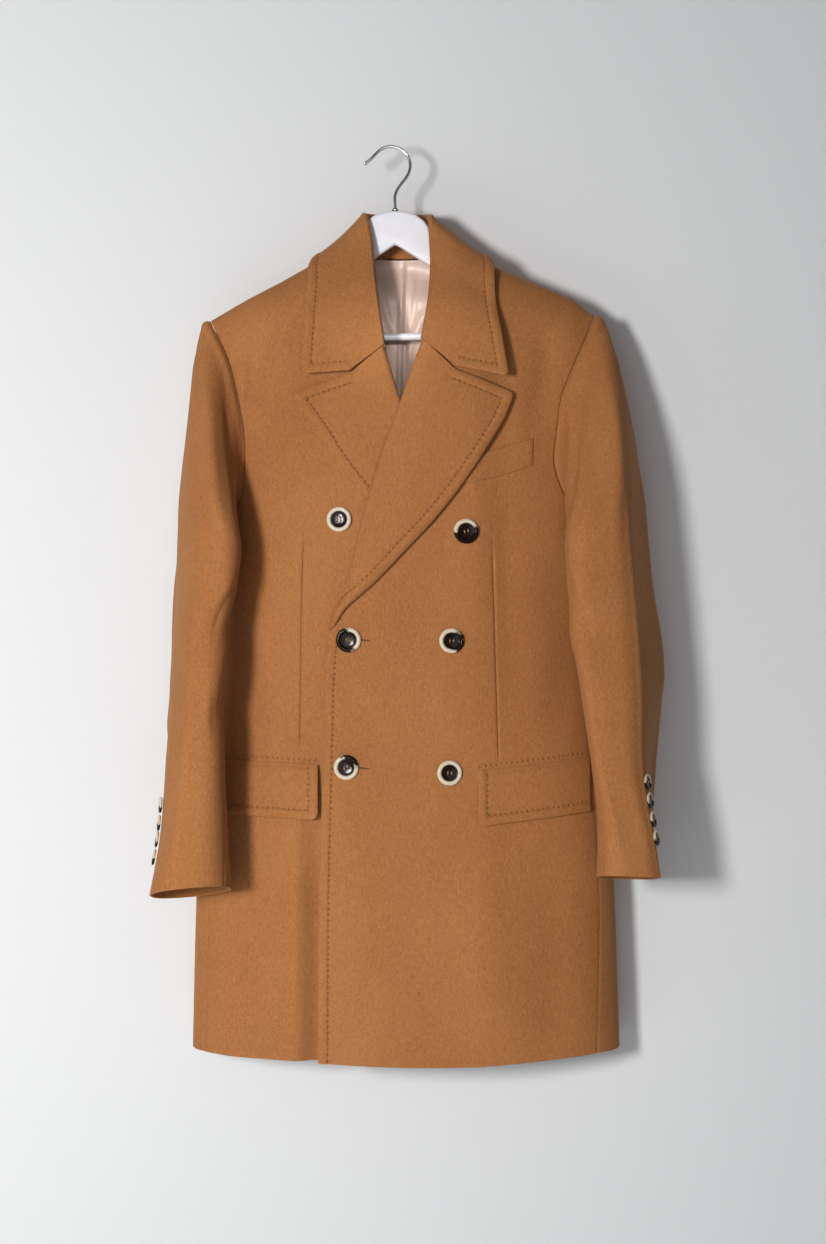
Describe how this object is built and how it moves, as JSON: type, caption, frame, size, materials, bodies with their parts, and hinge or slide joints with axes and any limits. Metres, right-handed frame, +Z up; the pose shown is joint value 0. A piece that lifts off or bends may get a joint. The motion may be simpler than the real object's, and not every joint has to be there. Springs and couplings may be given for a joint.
{
  "type": "overcoat and hanger",
  "caption": "Camel wool double-breasted overcoat with wide lapels, flap pockets and horn buttons, hanging on a white wooden hanger with a chrome hook",
  "frame": {"origin": "top inside of the hanger's hook, where it bears on what holds it", "axes": "+X to the wearer's left, +Y to the coat's back, +Z up along its length"},
  "size_m": [0.5845, 0.2208, 1.0655],
  "materials": {
    "melton": "matte brushed wool",
    "satin": "satin lining",
    "horn": "polished horn",
    "painted_wood": "white satin paint",
    "chrome": "polished"
  },
  "bodies": {
    "root": {"front_left": "melton", "front_right": "melton", "back_left": "melton", "back_right": "melton", "top_sleeve_left": "melton", "top_sleeve_right": "melton", "under_sleeve_left": "melton", "under_sleeve_right": "melton", "lapel_left": "melton", "lapel_right": "melton", "collar_fall": "melton", "collar_stand": "melton", "flap_left": "melton", "flap_right": "melton", "breast_welt": "melton", "back_lining": "satin", "front_button_1": "horn", "front_button_2": "horn", "front_button_3": "horn", "front_button_4": "horn", "front_button_5": "horn", "front_button_6": "horn", "cuff_button_left_1": "horn", "cuff_button_left_2": "horn", "cuff_button_left_3": "horn", "cuff_button_left_4": "horn", "cuff_button_right_1": "horn", "cuff_button_right_2": "horn", "cuff_button_right_3": "horn", "cuff_button_right_4": "horn", "hanger_body": "painted_wood", "hanger_bar": "painted_wood", "hanger_hook": "chrome", "hanger_ferrule": "chrome"}
  },
  "joints": []
}
